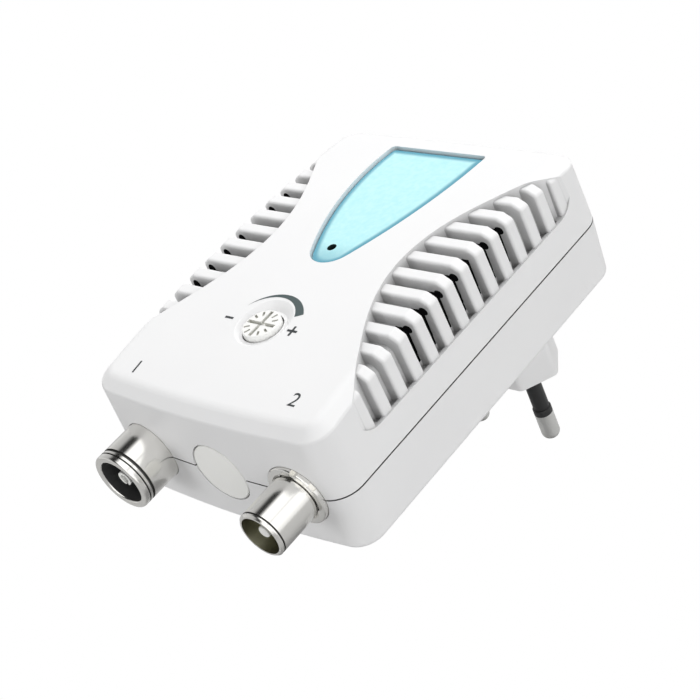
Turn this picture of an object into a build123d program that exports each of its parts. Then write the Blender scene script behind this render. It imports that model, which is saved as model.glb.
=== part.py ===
from build123d import *
import math
import os

# Plug-in aerial signal amplifier.
# Millimetres. X runs across the case, Y from the aerial sockets to the back, Z up.
# The origin lies midway between the two mains pins, on the plug's mating face.

# One overrun serves every cut, and one gap every snug hole
overrun = 1.0
snug_gap = 0.03

# Mains plug, flat two-pin pattern
pin_pitch = 19.0
pin_diameter = 4.0
pin_core_diameter = 3.0
pin_length = 19.0
pin_tip_radius = 1.6
pin_root_length = 9.0
sleeve_length = 12.2
sleeve_diameter = 3.5
sleeve_collar_length = 1.5
sleeve_collar_round = 0.2
sleeve_seat_depth = 3.0
plug_width = 34.8
plug_flat_width = 26.1
plug_depth = 13.7
plug_corner_radius = 1.5
plug_face_radius = 0.3
plug_wall = 1.8
plug_base_thickness = 7.0
plug_flange_reach = 1.5
plug_flange_thickness = 1.5
plug_fit = 0.15

# Case, both halves
parting_height = 32.0
front_reach = 68.1
case_width = 60.0
case_straight_length = 82.2
front_bow = 1.3
back_bow = 0.5
case_corner_radius = 5.5
upper_height = 17.5
crown_drop = 2.8
lower_height = 12.4
upper_draft = 2.0
lower_draft = 2.6
shell_wall = 2.0
rim_across = 2.6
rim_down = 1.9
rim_top_radius = 3.0
rim_side_radius = 0.7
floor_edge_radius = 1.0
least_radius = 0.3
level_edge_share = 0.5
level_edge_slope = 0.3
seam_width = 0.3
lip_height = 1.2
lip_fit = 0.1

# Field of cooling ribs along both upper edges
rib_pitch = 4.73
rib_width = 2.65
rib_count = 14
rib_field_shift = 1.5
rib_field_front = 33.7
rib_field_back = 33.3
rib_field_height = 6.4
rib_field_corner_radius = 5.0
rib_field_waist = 16.9
rib_field_reach = 29.9
rib_bow_length = 33.2
rib_bow_step_shares = (0.36, 0.72)
rib_bow_rise_shares = (0.18, 0.645)
rib_top_sink = 0.6
rib_side_sink = 0.3
rib_band_sink = 0.2
rib_bend_radius = 1.0
rib_edge_radius = 0.6
groove_top_sink = 3.0
groove_side_sink = 2.6
groove_bend_radius = 1.8
groove_wall = 1.1
groove_foot_drop = 0.8
groove_foot_wall = 1.1
vent_first = 3
vent_last = 9
vent_short = 7
vent_inset = 5.6
vent_short_inset = 4.0
vent_rise = 0.4
vent_side_gap = 0.05

# Window and pilot lamp
window_back = 7.8
window_length = 42.6
window_back_half_width = 11.9
window_side_half_width = 10.3
window_side_share = 0.433
window_tip_radius = 5.0
window_corner_radius = 0.8
window_sink = 0.7
window_seat_width = 1.3
window_seat_margin = 1.2
window_seat_thickness = 1.0
lens_thickness = 1.2
lens_fit = 0.1
lens_bevel = 0.35
lamp_front = 24.8
lamp_side_shift = 1.3
lamp_hole_diameter = 1.9
lamp_diameter = 3.0
lamp_flange_diameter = 3.8
lamp_flange_height = 1.0
lamp_body_height = 4.2
lamp_lens_gap = 0.3
lamp_lead_side = 0.5
lamp_lead_pitch = 2.54

# Gain control
knob_front = 47.4
knob_diameter = 7.6
knob_stand = 0.35
knob_edge_radius = 0.25
knob_gap = 0.3
knob_slot_width = 0.8
knob_slot_depth = 0.7
knob_slot_length = 6.8
knob_tick_width = 0.45
knob_tick_inner = 2.2
knob_tick_outer = 3.4
knob_tick_depth = 0.4
knob_tick_step = 30.0
knob_collar_diameter = 9.8
knob_collar_thickness = 0.8
knob_collar_gap = 0.7
knob_stem_diameter = 3.8
knob_key_width = 2.0
knob_key_breadth = 3.0
knob_key_length = 3.0
dish_diameter = 11.8
dish_floor_diameter = 9.4
dish_depth = 0.75
pot_side = 9.4
pot_height = 4.8
pot_corner_radius = 0.8
rotor_diameter = 5.2
rotor_height = 3.6
rotor_gap = 0.06
key_gap = 0.05

# Aerial sockets
socket_spread = 38.3
socket_hole_fit = 0.1
input_tip_reach = 9.9
input_diameter = 12.5
input_bore_diameter = 9.52
input_bore_depth = 8.5
input_lip_radius = 0.5
input_groove_setbacks = (1.15, 1.95)
input_groove_widths = (0.3, 0.6)
input_groove_depth = 0.35
contact_diameter = 3.0
contact_bore_diameter = 1.9
contact_slot_width = 0.7
contact_setback = 1.2
contact_slot_depth = 5.0
output_tip_reach = 11.1
output_diameter = 9.5
output_bore_diameter = 8.1
output_bore_depth = 9.0
output_tip_chamfer = 0.35
output_line_setback = 0.6
output_line_width = 0.35
output_line_depth = 0.25
output_neck_diameter = 8.5
output_pin_diameter = 2.4
output_pin_setback = 0.9
output_pin_round = 0.3
collar_diameter = 12.6
collar_stand = 0.5
collar_edge_radius = 0.3
collar_recess_gap = 0.35
collar_recess_depth = 0.8
collar_notch_width = 1.4
collar_notch_depth = 0.9
collar_notch_length = 0.8
collar_notch_turns = (20.0, 57.0)
insulator_disc_thickness = 1.5
insulator_bush_diameter = 5.0
socket_tail_diameter = 1.4
socket_tail_length = 5.0
blank_diameter = 12.6
blank_fit = 0.3
blank_sink = 0.15
blank_rim_reach = 1.2
blank_rim_thickness = 0.8
blank_rim_gap = 0.55
blank_edge_radius = 0.3

# Screening box round the high-frequency board
can_wall = 0.5
can_half_width = 24.8
can_front_gap = 2.8
can_length = 26.3
can_top = 8.0
can_bottom = 7.0
can_tail_hole_diameter = 5.2
lid_lip = 2.0
lid_thickness = 0.4
lid_gap = 0.05
lid_stem_gap = 0.8

# Printed boards and what stands on them
board_thickness = 1.6
board_gap = 0.3
power_board_half_width = 17.5
power_board_length = 15.2
board_spacing = 1.0
board_peg_diameter = 2.2
board_peg_gap = 0.1
board_peg_edge = 3.0
board_post_diameter = 4.4
link_pin_side = 0.64
link_pin_pitch = 2.54
link_pin_count = 3
link_pin_reach = 2.4
link_slot_gap = 0.6
capacitor_diameter = 8.0
capacitor_height = 11.5
capacitor_bead_depth = 0.35
capacitor_bead_height = 1.6
capacitor_place = (-12.0, -33.0)
second_capacitor_diameter = 6.3
second_capacitor_height = 8.0
second_capacitor_place = (-8.6, -26.4)
capacitor_stand = 0.3
regulator_width = 4.6
regulator_depth = 3.6
regulator_height = 4.6
regulator_stand = 2.0
regulator_lead_side = 0.45
regulator_lead_pitch = 1.27
regulator_place = (9.5, -34.4)
diode_diameter = 2.7
diode_length = 5.2
diode_lead_side = 0.7
diode_lead_span = 6.6
diode_columns = (5.9, 13.3)
diode_rows = (-29.2, -24.4)
transistor_diameter = 4.8
transistor_height = 1.7
transistor_lead_width = 0.8
transistor_lead_length = 2.4
transistor_lead_thickness = 0.25
transistor_places = ((-9.5, -56.5), (9.5, -56.5))
ferrite_height = 3.0
ferrite_diameter = 4.6
ferrite_hole_diameter = 1.7
ferrite_places = ((-16.0, -48.5), (16.0, -48.5))
chip_length = 2.0
chip_width = 1.25
chip_height = 0.6
chip_columns = (-22.4, -12.5, -6.0, 6.0, 12.5, 22.4)
chip_rows = (-61.5, -52.6, -41.6)

# Mains transformer
core_width = 30.0
core_length = 25.0
core_stack = 12.0
core_window_width = 5.0
core_window_length = 15.0
core_lift = 2.6
bobbin_wall = 0.8
bobbin_flange = 1.0
bobbin_gap = 0.15
bobbin_overhang = 4.5
winding_depth = 3.4
winding_split_share = 0.58
winding_corner_radius = 1.5
cradle_width = 3.0
cradle_lug_height = 3.0
cradle_gap = 0.2
hold_down_gap = 0.3
mains_lead_diameter = 1.8
mains_lead_jog = 1.2
mains_lead_offset = 0.7
secondary_lead_diameter = 1.3
secondary_lead_spread = 6.0
secondary_lead_inset = 3.0
secondary_lead_radius = 1.6
terminal_rail_depth = 2.4
terminal_rail_height = 1.6

# Case screws and their posts
screw_spread = 44.4
screw_front_place = 32.6
screw_back_place = 4.4
screw_diameter = 2.9
screw_head_diameter = 5.2
screw_head_height = 1.8
screw_length = 14.0
screw_end_gap = 0.5
screw_recess_diameter = 5.6
screw_recess_depth = 6.0
screw_slot_width = 0.8
screw_slot_depth = 0.8
screw_slot_length = 3.4
screw_head_round = 0.5
screw_point = 0.4
screw_hole_diameter = 3.2
lower_post_diameter = 8.0
upper_post_diameter = 6.0

# Places worked out from the sizes above
half_width = case_width / 2
front_chord = -front_reach
back_chord = case_straight_length - front_reach
case_middle = (front_chord + back_chord) / 2
rib_middle = case_middle + rib_field_shift
rib_field_floor = parting_height + rib_field_height
crown_height = parting_height + upper_height
case_floor = parting_height - lower_height
inner_floor = case_floor + shell_wall
crown_radius = ((case_straight_length / 2) ** 2 + crown_drop**2) / (2 * crown_drop)
crown_centre = crown_height - crown_radius
lamp_x = -lamp_side_shift
lamp_y = -lamp_front
knob_y = -knob_front
input_x = -socket_spread / 2
output_x = socket_spread / 2
can_front = front_chord + can_front_gap
can_back = can_front + can_length
board_top = parting_height - socket_tail_diameter / 2
board_bottom = board_top - board_thickness
power_board_front = can_back + board_spacing
power_board_back = power_board_front + power_board_length
core_y = -(core_window_length / 2 - bobbin_gap - bobbin_flange / 2)
core_z = parting_height + core_lift
core_leg_width = core_width - 4 * core_window_width
rotor_top = board_top + pot_height
screw_top = case_floor + screw_recess_depth + screw_length + screw_end_gap
screw_places = [
    (side * screw_spread / 2, y)
    for side in (-1, 1)
    for y in (-screw_front_place, screw_back_place)
]


def crown_at(y, inset):
    """Height of the arched top, or of its parallel, at a place along the case."""
    radius = crown_radius - inset
    return crown_centre + math.sqrt(radius**2 - (y - rib_middle) ** 2)


def front_at(x):
    """Place of the bowed front face at the parting plane."""
    bow_radius = (half_width**2 + front_bow**2) / (2 * front_bow)
    return front_chord - front_bow + bow_radius - math.sqrt(bow_radius**2 - x**2)


def rod(radius, start, finish, x, y):
    """Upright round bar between two heights."""
    return Pos(x, y, (start + finish) / 2) * Cylinder(radius, finish - start)


def bar(radius, start, finish, x, z):
    """Round bar along Y between two places."""
    length = finish - start
    return Pos(x, (start + finish) / 2, z) * Cylinder(radius, length, rotation=(90, 0, 0))


def slab(x_size, y_size, start, finish, x, y):
    """Upright rectangular block between two heights."""
    return Pos(x, y, (start + finish) / 2) * Box(x_size, y_size, finish - start)


def joined(shapes):
    """Solids fused into one part."""
    whole = Part()
    for shape in shapes:
        whole += shape
    return whole


def both_sides(shape):
    """A shape together with its mirror image across the middle of the case."""
    return shape + mirror(shape, about=Plane.YZ)


def case_plan(inset, height):
    """Outline of the case seen from above, with bowed ends and round corners."""
    half = half_width - inset
    front = front_chord + inset
    back = back_chord - inset
    edges = [
        ThreePointArc((-half, front), (0, front - front_bow), (half, front)),
        Line((half, front), (half, back)),
        ThreePointArc((half, back), (0, back + back_bow), (-half, back)),
        Line((-half, back), (-half, front)),
    ]
    face = make_face(edges)
    radius = max(case_corner_radius - inset, least_radius)
    return Pos(0, 0, height) * fillet(face.vertices(), radius)


def drafted_block(inset, start, finish, draft):
    """Block on the case outline that narrows away from the parting plane."""
    slope = math.tan(math.radians(draft))
    sections = []
    for height in (start, finish):
        away = abs(height - parting_height)
        sections.append(case_plan(inset + away * slope, height))
    return loft(sections, ruled=True)


def arched_block(side_inset, top_inset, start):
    """Upper half of the case as a plain block under its arch, or one inside it."""
    block = drafted_block(side_inset, start, crown_height + overrun, upper_draft)
    arch = Cylinder(crown_radius - top_inset, case_width + overrun, rotation=(0, 90, 0))
    return block & Pos(0, rib_middle, crown_centre) * arch


def level_edges(block):
    """Edges near the top of a block that run level rather than down its sides."""
    edges = []
    for edge in block.edges():
        high = edge.center().Z > parting_height + upper_height / 2
        if high and abs(edge.tangent_at(level_edge_share).Z) < level_edge_slope:
            edges.append(edge)
    return edges


def rimmed_block(side_inset, top_inset, band_inset, top_radius, side_radius):
    """Arched block whose top edge is a sloping band, both bends softened."""
    block = arched_block(side_inset, top_inset, parting_height)
    steepness = math.hypot(1 / rim_across, 1 / rim_down)
    band = 1 + band_inset * steepness
    across = rim_across * (band - top_inset / rim_down) - side_inset
    down = rim_down * (band - side_inset / rim_across) - top_inset
    top = block.faces().sort_by(Axis.Z)[-1]
    block = chamfer(top.edges(), across, down, reference=top)
    inner_bend = block.faces().sort_by(Axis.Z)[-1].edges()
    outer_bend = [edge for edge in level_edges(block) if edge not in inner_bend]
    block = fillet(outer_bend, side_radius)
    return fillet(block.faces().sort_by(Axis.Z)[-1].edges(), top_radius)


def groove_block():
    """Arched block that the floors of the grooves follow, round at its top edge."""
    block = arched_block(groove_side_sink, groove_top_sink, parting_height)
    return fillet(block.faces().sort_by(Axis.Z)[-1].edges(), groove_bend_radius)


def window_outline(grow):
    """Outline of the window: straight back edge, curved sides and a round tip."""
    back = window_back
    tip = window_back - window_length
    side = window_back - window_length * window_side_share
    right = (window_back_half_width, back)
    left = (-window_back_half_width, back)
    edges = [
        Line(left, right),
        ThreePointArc(right, (window_side_half_width, side), (0, tip)),
        ThreePointArc((0, tip), (-window_side_half_width, side), left),
    ]
    face = make_face(edges)
    corners = face.vertices().sort_by(Axis.Y)
    face = fillet(corners[0], window_tip_radius)
    face = fillet(face.vertices().sort_by(Axis.Y)[-2:], window_corner_radius)
    if grow == 0:
        return face
    return offset(face, amount=grow)


def window_prism(grow):
    """Upright prism on the window's outline through the top of the case."""
    start = parting_height + rib_field_height
    return extrude(Pos(0, 0, start) * window_outline(grow), amount=crown_height + overrun - start)


def rib_zone(grow):
    """Space that one field of ribs takes up, seen from above and from the side."""
    beyond = half_width + overrun
    reach = rib_field_reach - grow
    waist = rib_field_waist - grow
    length = rib_bow_length + grow
    bow = []
    for step, rise in zip(rib_bow_step_shares, rib_bow_rise_shares):
        bow.append((waist + (reach - waist) * rise, length * step))
    front_half = [(x, rib_middle - along) for x, along in reversed(bow)]
    back_half = [(x, rib_middle + along) for x, along in bow]
    front_end = (reach, rib_middle - length)
    back_end = (reach, rib_middle + length)
    curve = Spline(front_end, *front_half, (waist, rib_middle), *back_half, back_end)
    far_front = (beyond, rib_middle - rib_field_front - grow)
    far_back = (beyond, rib_middle + rib_field_back + grow)
    near_back = (reach, far_back[1])
    near_front = (reach, far_front[1])
    border = Polyline(back_end, near_back, far_back, far_front, near_front, front_end)
    floor = rib_field_floor - grow
    roof = crown_height + overrun
    plan = Pos(0, 0, floor) * make_face([curve, border])
    seen_from_above = extrude(plan, amount=roof - floor)
    middle = (far_front[1] + far_back[1]) / 2
    size = (far_back[1] - far_front[1], roof - floor)
    side_face = Plane.YZ * Pos(middle, (floor + roof) / 2) * Rectangle(*size)
    lower_corners = side_face.vertices().sort_by(Axis.Z)[:2]
    side_face = fillet(lower_corners, rib_field_corner_radius + grow)
    seen_from_side = extrude(side_face, amount=beyond + overrun)
    return seen_from_above & seen_from_side


def rib(number):
    """One portal-shaped slice of the ribbed surface, its outer edges rounded."""
    y = rib_middle + (number - (rib_count - 1) / 2) * rib_pitch
    start = rib_field_floor - groove_foot_drop - overrun
    piece = rib_surface & slab(case_width, rib_width, start, crown_height, 0, y)
    ends = piece.faces().filter_by(Axis.Y)
    edges = [
        edge
        for face in ends
        for edge in face.edges()
        if edge.bounding_box().max.Z > start + least_radius
    ]
    return fillet(edges, rib_edge_radius)


def groove_foot():
    """Trough behind the lower edge of the field, below the ends of the grooves."""
    front = rib_middle - rib_field_front + rib_field_corner_radius
    back = rib_middle + rib_field_back - rib_field_corner_radius
    outer = half_width - groove_foot_wall
    inner = half_width - groove_side_sink - overrun
    start = rib_field_floor - groove_foot_drop
    finish = rib_field_floor + overrun
    return slab(outer - inner, back - front, start, finish, (outer + inner) / 2, (front + back) / 2)


def vent(number):
    """Opening in the floor of one groove, round the bend and down the side."""
    y = rib_middle + (number - (rib_count - 2) / 2) * rib_pitch
    width = rib_pitch - rib_width - 2 * vent_side_gap
    inset = vent_short_inset if number == vent_short else vent_inset
    start = rib_field_floor + vent_rise
    return slab(inset, width, start, crown_height, half_width - inset / 2, y)


def upper_shell():
    """Upper half of the case with its ribs, vents, window seat and knob dish."""
    cavity = arched_block(shell_wall, shell_wall, parting_height - overrun)
    cavity -= both_sides(rib_zone(groove_wall + groove_foot_drop)) - arched_block(
        groove_side_sink + groove_wall, groove_top_sink + groove_wall, parting_height - overrun
    )
    seat_top = window_sink + lens_thickness
    seat = arched_block(0, seat_top - shell_wall / 4, parting_height)
    seat -= arched_block(0, seat_top + window_seat_thickness, parting_height - overrun)
    clamp_x = (core_width - cradle_width) / 2
    clamp_start = core_z + core_stack / 2 + hold_down_gap
    clamp = slab(cradle_width, core_length, clamp_start, crown_height, clamp_x, core_y)
    supports = [both_sides(clamp)]
    for x, y in screw_places:
        supports.append(rod(upper_post_diameter / 2, parting_height, crown_height, x, y))
    buried = arched_block(shell_wall / 2, shell_wall / 2, parting_height)
    shell = outer_surface - cavity + [joined(supports) & buried, window_prism(window_seat_margin) & seat]
    ribs = [rib(number) for number in range(rib_count)]
    cuts = [both_sides(rib_zone(0) + groove_foot() - [groove_block(), *ribs])]
    for number in range(vent_first, vent_last + 1):
        cuts.append(both_sides(vent(number)))
    cuts.append(window_prism(lens_fit) - arched_block(0, seat_top, parting_height))
    cuts.append(window_prism(-window_seat_width))
    cuts.append(knob_dish())
    for x, y in screw_places:
        cuts.append(rod(screw_diameter / 2 + snug_gap, parting_height - overrun, screw_top, x, y))
    cuts.append(extrude(case_plan(shell_wall / 2, parting_height), amount=lip_height + lip_fit))
    seam = case_plan(-overrun, parting_height) - case_plan(shell_wall / 2, parting_height)
    cuts.append(extrude(seam, amount=seam_width))
    return shell - cuts - socket_holes()


def knob_dish():
    """Shallow dish round the knob and the hole below it."""
    rim = crown_at(knob_y, 0)
    floor = rim - dish_depth
    spread = (dish_diameter - dish_floor_diameter) / 2
    dish_top = rim + dish_depth
    cone = Cone(dish_floor_diameter / 2, dish_floor_diameter / 2 + 2 * spread, dish_top - floor)
    dish = Pos(0, knob_y, (dish_top + floor) / 2) * cone
    hole = rod(knob_diameter / 2 + knob_gap, rib_field_floor, crown_height, 0, knob_y)
    return dish + hole


def socket_holes():
    """Round holes through the front wall for both sockets and the blanking disc."""
    start = front_chord - front_bow - overrun
    finish = front_chord + shell_wall + overrun
    holes = Part()
    for x, radius in (
        (input_x, input_diameter / 2 + socket_hole_fit),
        (0, blank_diameter / 2 + blank_fit),
        (output_x, collar_diameter / 2 + socket_hole_fit),
    ):
        holes += bar(radius, start, finish, x, parting_height)
    return holes


def lower_shell():
    """Lower half of the case with its lip, posts, cradle and plug opening."""
    outer = drafted_block(0, parting_height, case_floor, lower_draft)
    shell = fillet(outer.faces().sort_by(Axis.Z)[0].edges(), floor_edge_radius)
    shell -= drafted_block(shell_wall, parting_height, inner_floor, lower_draft)
    buried = case_floor + shell_wall / 2
    lip = case_plan(shell_wall / 2 + lip_fit, parting_height) - case_plan(shell_wall, parting_height)
    parts = [extrude(lip, amount=lip_height)]
    for x, y in screw_places:
        parts.append(rod(lower_post_diameter / 2, buried, parting_height, x, y))
    peg_x = power_board_half_width - board_peg_edge
    for y in (power_board_front + board_peg_edge, power_board_back - board_peg_edge):
        post = rod(board_post_diameter / 2, buried, board_bottom, peg_x, y)
        peg = rod(board_peg_diameter / 2, board_bottom, board_top, peg_x, y)
        parts.append(both_sides(post + peg))
    can_floor = parting_height - can_bottom - lid_thickness
    rail_x = can_half_width - 2 * cradle_width
    rail = slab(cradle_width, can_length, buried, can_floor, rail_x, (can_front + can_back) / 2)
    parts.append(both_sides(rail))
    core_bottom = core_z - core_stack / 2
    core_end = core_length / 2 + cradle_gap
    cradle_x = (core_width - cradle_width) / 2
    front = core_y - core_end - cradle_width
    back = back_chord - shell_wall / 2
    finish = core_bottom + cradle_lug_height
    cradle = slab(cradle_width, back - front, buried, finish, cradle_x, (front + back) / 2)
    cradle -= slab(case_width, 2 * core_end, core_bottom, finish + overrun, 0, core_y)
    flange = Pos(0, 0, inner_floor) * plug_outline(plug_flange_reach + plug_fit)
    parts.append(both_sides(cradle) - extrude(flange, amount=plug_flange_thickness))
    opening = Pos(0, 0, case_floor - overrun) * plug_outline(plug_fit)
    cuts = [extrude(opening, amount=shell_wall + 2 * overrun)]
    for x, y in screw_places:
        recess_top = case_floor + screw_recess_depth
        cuts.append(rod(screw_recess_diameter / 2, case_floor - overrun, recess_top, x, y))
        cuts.append(rod(screw_hole_diameter / 2, recess_top - overrun, parting_height + overrun, x, y))
    return shell + parts - cuts - socket_holes()


def plug_outline(grow):
    """Long hexagon of the flat plug, with rounded corners."""
    slant = math.atan2(plug_depth, plug_width - plug_flat_width)
    tip = plug_width / 2 + plug_corner_radius * (1 / math.sin(slant) - 1)
    points = [
        (tip, 0),
        (plug_flat_width / 2, plug_depth / 2),
        (-plug_flat_width / 2, plug_depth / 2),
        (-tip, 0),
        (-plug_flat_width / 2, -plug_depth / 2),
        (plug_flat_width / 2, -plug_depth / 2),
    ]
    face = make_face(Polyline(*points, close=True))
    face = fillet(face.vertices(), plug_corner_radius)
    if grow == 0:
        return face
    return offset(face, amount=grow)


def plug_body():
    """Plug stem: solid base for the pins, hollow above, flanged inside the case."""
    flange_top = inner_floor + plug_flange_thickness
    body = extrude(plug_outline(0), amount=flange_top)
    face = body.faces().sort_by(Axis.Z)[0]
    body = fillet(face.edges(), plug_face_radius)
    flange = Pos(0, 0, inner_floor) * plug_outline(plug_flange_reach)
    body += extrude(flange, amount=plug_flange_thickness)
    hollow = Pos(0, 0, plug_base_thickness) * plug_outline(-plug_wall)
    body -= extrude(hollow, amount=flange_top)
    for x in (-pin_pitch / 2, pin_pitch / 2):
        body -= rod(pin_core_diameter / 2 + snug_gap, -overrun, plug_base_thickness + overrun, x, 0)
        body -= rod(sleeve_diameter / 2 + snug_gap, -overrun, sleeve_seat_depth, x, 0)
    return body


def mains_pin(x):
    """One mains pin: thick bright end, thinner core under the sleeve, tail inside."""
    bright_top = -sleeve_length
    end = rod(pin_diameter / 2, -pin_length, bright_top, x, 0)
    tip = end.edges().sort_by(Axis.Z)[0]
    end = fillet(tip, pin_tip_radius)
    return end + rod(pin_core_diameter / 2, bright_top, pin_root_length, x, 0)


def pin_sleeve(x):
    """Insulating sleeve seated in the plug, with a collar at the bright end."""
    collar = rod(pin_diameter / 2, -sleeve_length, sleeve_collar_length - sleeve_length, x, 0)
    collar = fillet(collar.edges().sort_by(Axis.Z)[-1], sleeve_collar_round)
    sleeve = collar + rod(sleeve_diameter / 2, -sleeve_length, sleeve_seat_depth, x, 0)
    hole = pin_core_diameter / 2 + snug_gap
    return sleeve - rod(hole, -sleeve_length - overrun, sleeve_seat_depth + overrun, x, 0)


def window_lens():
    """Curved lens that follows the arch, with a small hole for the lamp."""
    plate = arched_block(0, window_sink, parting_height)
    plate -= arched_block(0, window_sink + lens_thickness, parting_height - overrun)
    lens = window_prism(0) & plate
    top = lens.faces().sort_by(Axis.Z)[-1]
    lens = chamfer(top.edges(), lens_bevel)
    return lens - rod(lamp_hole_diameter / 2, rib_field_floor, crown_height, lamp_x, lamp_y)


def pilot_lamp():
    """Lamp with a domed top on two long leads."""
    top = crown_at(lamp_y, window_sink + lens_thickness) - lamp_lens_gap
    bottom = top - lamp_body_height
    dome = rod(lamp_diameter / 2, bottom, top - lamp_diameter / 2, lamp_x, lamp_y)
    dome += Pos(lamp_x, lamp_y, top - lamp_diameter / 2) * Sphere(lamp_diameter / 2)
    lamp = dome + rod(lamp_flange_diameter / 2, bottom, bottom + lamp_flange_height, lamp_x, lamp_y)
    for side in (-1, 1):
        x = lamp_x + side * lamp_lead_pitch / 2
        lamp += slab(lamp_lead_side, lamp_lead_side, board_top, bottom, x, lamp_y)
    return lamp


def gain_knob():
    """Knob with crossed slots and scale marks, a collar below and a keyed stem."""
    top = crown_at(knob_y, 0) + knob_stand
    face_plane = Pos(0, knob_y, top)
    collar_top = crown_at(knob_y, shell_wall) - knob_collar_gap
    head = rod(knob_diameter / 2, collar_top - knob_collar_thickness, top, 0, knob_y)
    rim = head.edges().sort_by(Axis.Z)[-1]
    knob = fillet(rim, knob_edge_radius)
    for turn in (0, 90):
        slot = Rot(0, 0, turn) * Box(knob_slot_length, knob_slot_width, 2 * knob_slot_depth)
        knob -= face_plane * slot
    tick_length = knob_tick_outer - knob_tick_inner
    tick_middle = (knob_tick_outer + knob_tick_inner) / 2
    for quarter in range(4):
        for step in (1, 2):
            turn = quarter * 90 + step * knob_tick_step
            tick = Pos(tick_middle, 0, 0) * Box(tick_length, knob_tick_width, 2 * knob_tick_depth)
            knob -= face_plane * (Rot(0, 0, turn) * tick)
    knob += rod(knob_collar_diameter / 2, collar_top - knob_collar_thickness, collar_top, 0, knob_y)
    knob += rod(knob_stem_diameter / 2, rotor_top + key_gap, collar_top, 0, knob_y)
    key_start = rotor_top + key_gap - knob_key_length
    knob += slab(knob_key_breadth, knob_key_width, key_start, rotor_top + key_gap, 0, knob_y)
    return knob


def potentiometer_body():
    """Square trimmer case with a round well for its rotor."""
    body = slab(pot_side, pot_side, board_top, board_top + pot_height, 0, knob_y)
    body = fillet(body.edges().filter_by(Axis.Z), pot_corner_radius)
    well = rotor_diameter / 2 + rotor_gap
    return body - rod(well, rotor_top - rotor_height - rotor_gap, rotor_top + overrun, 0, knob_y)


def potentiometer_rotor():
    """Round rotor with the slot that the knob's key turns."""
    rotor = rod(rotor_diameter / 2, rotor_top - rotor_height, rotor_top, 0, knob_y)
    key_floor = rotor_top - knob_key_length - key_gap
    breadth = knob_key_breadth + 2 * key_gap
    width = knob_key_width + 2 * key_gap
    return rotor - slab(breadth, width, key_floor, rotor_top + overrun, 0, knob_y)


def turned(points, x):
    """Solid of revolution about a socket's axis from points (radius, place along Y)."""
    face = make_face(Polyline(*points, close=True))
    return Pos(x, 0, parting_height) * revolve(face, axis=Axis.Y)


def input_barrel():
    """Outer contact of the input socket, ringed near its mouth."""
    tip = front_chord - input_tip_reach
    outer = input_diameter / 2
    bore = input_bore_diameter / 2
    web = tip + input_bore_depth
    barrel = turned([(bore, tip), (outer, tip), (outer, can_front), (bore, can_front)], input_x)
    mouth = barrel.edges().group_by(Axis.Y)[0]
    barrel = fillet(mouth, input_lip_radius)
    bush = insulator_bush_diameter / 2 + snug_gap
    barrel += turned([(bush, web), (bore, web), (bore, can_front), (bush, can_front)], input_x)
    for setback, width in zip(input_groove_setbacks, input_groove_widths):
        start = tip + setback
        finish = start + width
        floor = outer - input_groove_depth
        rim = outer + overrun
        barrel -= turned([(floor, start), (rim, start), (rim, finish), (floor, finish)], input_x)
    return barrel


def output_barrel():
    """Outer contact of the output plug, lined behind its mouth, with a neck."""
    tip = front_chord - output_tip_reach
    outer = output_diameter / 2
    bore = output_bore_diameter / 2
    neck = output_neck_diameter / 2
    web = tip + output_bore_depth
    shoulder = front_at(output_x) - collar_stand
    tube = [(bore, tip), (outer, tip), (outer, shoulder)]
    barrel = turned([*tube, (neck, shoulder), (neck, can_front), (bore, can_front)], output_x)
    mouth = barrel.edges().group_by(Axis.Y)[0].sort_by(SortBy.RADIUS)[-1]
    barrel = chamfer(mouth, output_tip_chamfer)
    bush = insulator_bush_diameter / 2 + snug_gap
    barrel += turned([(bush, web), (bore, web), (bore, can_front), (bush, can_front)], output_x)
    start = tip + output_line_setback
    finish = start + output_line_width
    floor = outer - output_line_depth
    rim = outer + overrun
    return barrel - turned([(floor, start), (rim, start), (rim, finish), (floor, finish)], output_x)


def socket_insulator(x, web, bore_diameter):
    """Stepped insulator: a disc in the bore and a bush through to the box."""
    disc = bore_diameter / 2 - snug_gap
    bush = insulator_bush_diameter / 2
    hole = socket_tail_diameter / 2 + snug_gap
    front = web - insulator_disc_thickness
    points = [(hole, front), (disc, front), (disc, web), (bush, web), (bush, can_front), (hole, can_front)]
    return turned(points, x)


def input_contact():
    """Split centre socket with its tail on the board."""
    tip = front_chord - input_tip_reach
    front = tip + contact_setback
    back = tip + input_bore_depth - insulator_disc_thickness
    contact = bar(contact_diameter / 2, front, back, input_x, parting_height)
    bore_end = front + contact_slot_depth
    contact -= bar(contact_bore_diameter / 2, front - overrun, bore_end, input_x, parting_height)
    slot_length = contact_slot_depth + overrun
    slot_middle = front - overrun + slot_length / 2
    cut = Box(contact_slot_width, slot_length, contact_diameter / 2 + overrun)
    cut_height = parting_height - (contact_diameter / 2 + overrun) / 2
    contact -= Pos(input_x, slot_middle, cut_height) * cut
    tail_end = can_front + can_wall + socket_tail_length
    return contact + bar(socket_tail_diameter / 2, back, tail_end, input_x, parting_height)


def output_contact():
    """Centre pin with a rounded nose and its tail on the board."""
    tip = front_chord - output_tip_reach
    front = tip + output_pin_setback
    back = tip + output_bore_depth - insulator_disc_thickness
    pin = bar(output_pin_diameter / 2, front, back, output_x, parting_height)
    nose = pin.edges().sort_by(Axis.Y)[0]
    pin = fillet(nose, output_pin_round)
    tail_end = can_front + can_wall + socket_tail_length
    return pin + bar(socket_tail_diameter / 2, back, tail_end, output_x, parting_height)


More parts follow.
